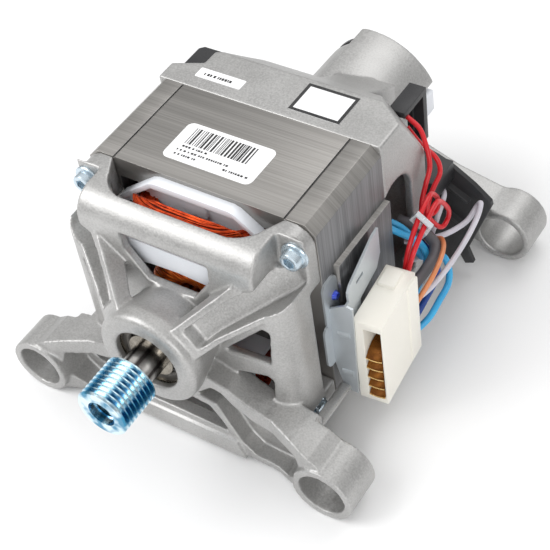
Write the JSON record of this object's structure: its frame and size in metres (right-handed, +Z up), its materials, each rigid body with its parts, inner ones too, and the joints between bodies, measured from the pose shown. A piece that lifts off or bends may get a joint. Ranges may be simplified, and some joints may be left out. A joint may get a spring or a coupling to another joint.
{
  "type": "washing machine drive motor",
  "caption": "Brushed commutator motor of a washing machine: two cast end shields with four lugs, open stator stack, multi-rib belt pulley, brush gear, speed sensor and wired plug.",
  "frame": {"origin": "on the shaft's axis, in the middle of the pulley's belt grooves", "axes": "+Y along the shaft from the pulley to the rear hub, +X towards the plug, +Z up, away from the mounting lugs"},
  "size_m": [0.1762, 0.2219, 0.1162],
  "materials": {
    "cast_aluminium": "sand-cast texture, satin",
    "laminations": "dull stacked steel sheet",
    "rotor_laminations": "ground",
    "bobbin_plastic": "matt white",
    "enamelled_wire": "glossy enamel over copper",
    "steel": "ground and polished",
    "zinc": "blue-tinged zinc plating",
    "insulation": "fibre disc",
    "copper": "machined copper",
    "moulding": "moulded resin",
    "bearing_brass": "pressed",
    "seal": "thin pressed shield",
    "black_plastic": "matt black",
    "brass": "bright",
    "carbon": "matt carbon",
    "magnet": "sintered",
    "coil_former": "matt",
    "white_plastic": "natural white",
    "red_insulation": "red",
    "blue_insulation": "light blue",
    "navy_insulation": "dark blue",
    "grey_insulation": "dark grey sleeve",
    "orange_insulation": "orange",
    "white_insulation": "grey white",
    "clear_tie": "translucent",
    "label": "plain sheet"
  },
  "bodies": {
    "stator": {"front_shield": "cast_aluminium", "front_arms": "cast_aluminium", "rear_shield": "cast_aluminium", "stator_core": "laminations", "bobbin_top": "bobbin_plastic", "bobbin_bottom": "bobbin_plastic", "field_coil_top": "enamelled_wire", "field_coil_bottom": "enamelled_wire", "front_bearing_outer": "steel", "rear_bearing_outer": "steel", "wave_washer": "steel", "brush_spring_left": "steel", "brush_spring_right": "steel", "tie_screws": "zinc", "tie_washers": "zinc", "cap_screws": "zinc", "plug_bracket": "zinc", "bracket_rivets": "zinc", "front_bearing_seal": "seal", "brush_holder_left": "black_plastic", "brush_holder_right": "black_plastic", "tacho_cap": "black_plastic", "wire_guide": "black_plastic", "brush_tube_left": "brass", "brush_tube_right": "brass", "plug_terminals": "brass", "tacho_coil": "coil_former", "plug_housing": "white_plastic", "tacho_socket": "white_plastic", "red_leads": "red_insulation", "blue_leads": "blue_insulation", "navy_lead": "navy_insulation", "grey_sleeve": "grey_insulation", "orange_lead": "orange_insulation", "white_leads": "white_insulation", "cable_ties": "clear_tie", "rating_label": "label", "batch_label": "label", "framed_label": "label"},
    "rotor": {"shaft": "steel", "drive_pulley": "zinc", "armature_core": "rotor_laminations", "end_discs": "insulation", "armature_winding_front": "enamelled_wire", "armature_winding_rear": "enamelled_wire", "commutator_bars": "copper", "commutator_hub": "moulding", "front_bearing_inner": "steel", "rear_bearing_inner": "steel", "tacho_magnet": "magnet"},
    "front_balls": {"front_bearing_balls": "steel", "front_bearing_cage": "bearing_brass"},
    "rear_balls": {"rear_bearing_balls": "steel", "rear_bearing_cage": "bearing_brass"},
    "brush_right": {"carbon_brush_right": "carbon"},
    "brush_left": {"carbon_brush_left": "carbon"}
  },
  "joints": [
    {"name": "rotor_spin", "type": "hinge", "parent": "stator", "child": "rotor", "pos_m": [0, 0, 0], "axis": [0, 1, 0], "continuous": true},
    {"name": "front_balls_spin", "type": "hinge", "parent": "stator", "child": "front_balls", "pos_m": [0, 0, 0], "axis": [0, 1, 0], "continuous": true},
    {"name": "rear_balls_spin", "type": "hinge", "parent": "stator", "child": "rear_balls", "pos_m": [0, 0, 0], "axis": [0, 1, 0], "continuous": true},
    {"name": "brush_right_slide", "type": "slide", "parent": "stator", "child": "brush_right", "axis": [1, 0, 0], "range_m": [0, 0.003], "stiffness_N_per_m": 150, "springref_m": -0.01, "deforming": ["brush_spring_right"]},
    {"name": "brush_left_slide", "type": "slide", "parent": "stator", "child": "brush_left", "axis": [-1, 0, 0], "range_m": [0, 0.003], "stiffness_N_per_m": 150, "springref_m": -0.01, "deforming": ["brush_spring_left"]}
  ],
  "couplings": [
    {"joint": "front_balls_spin", "follows": "rotor_spin", "ratio": 0.381},
    {"joint": "rear_balls_spin", "follows": "rotor_spin", "ratio": 0.36477}
  ]
}
